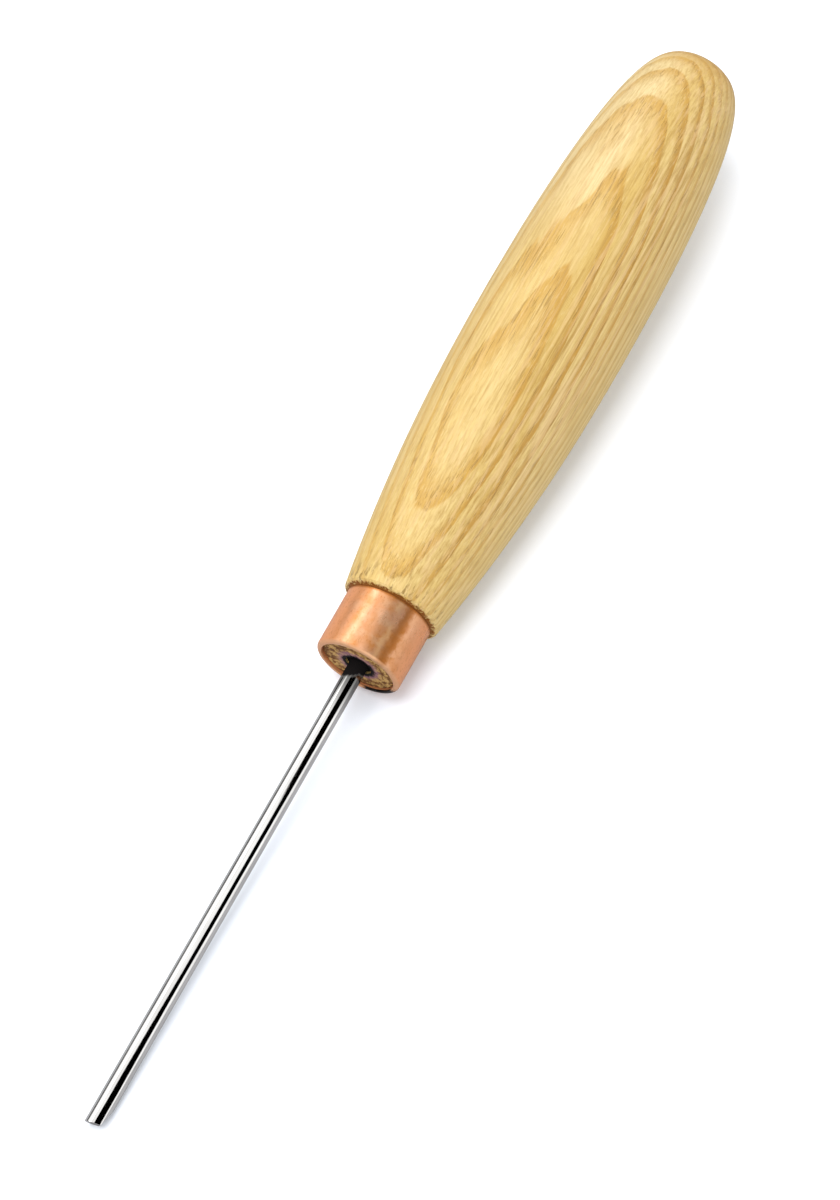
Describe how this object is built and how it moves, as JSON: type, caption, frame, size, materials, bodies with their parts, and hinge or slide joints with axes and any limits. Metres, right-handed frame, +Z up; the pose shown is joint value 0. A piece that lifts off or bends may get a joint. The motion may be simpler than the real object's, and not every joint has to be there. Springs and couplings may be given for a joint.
{
  "type": "palm hand tool",
  "caption": "Slim palm tool: turned ash handle with a rounded butt, copper ferrule, and a straight round steel blade with a blunt oblique end.",
  "frame": {"origin": "centre of the tool's footprint on the surface it lies on, under the middle of its bounding box", "axes": "+X along the tool towards the blade's end, +Z up from the surface; the tool lies on its belly and its blade's end, so its own axis dips 4.67 degrees below +X"},
  "size_m": [0.2116, 0.0262, 0.0289],
  "materials": {
    "ash": "satin oiled ash with straight open grain along the axis and one cathedral figure on top",
    "copper": null,
    "polished_steel": "bare steel bar, drawn and polished bright",
    "dark_resin": "cured dark epoxy, dull"
  },
  "bodies": {
    "root": {"handle": "ash", "ferrule": "copper", "blade": "polished_steel", "tang_resin": "dark_resin"}
  },
  "joints": []
}
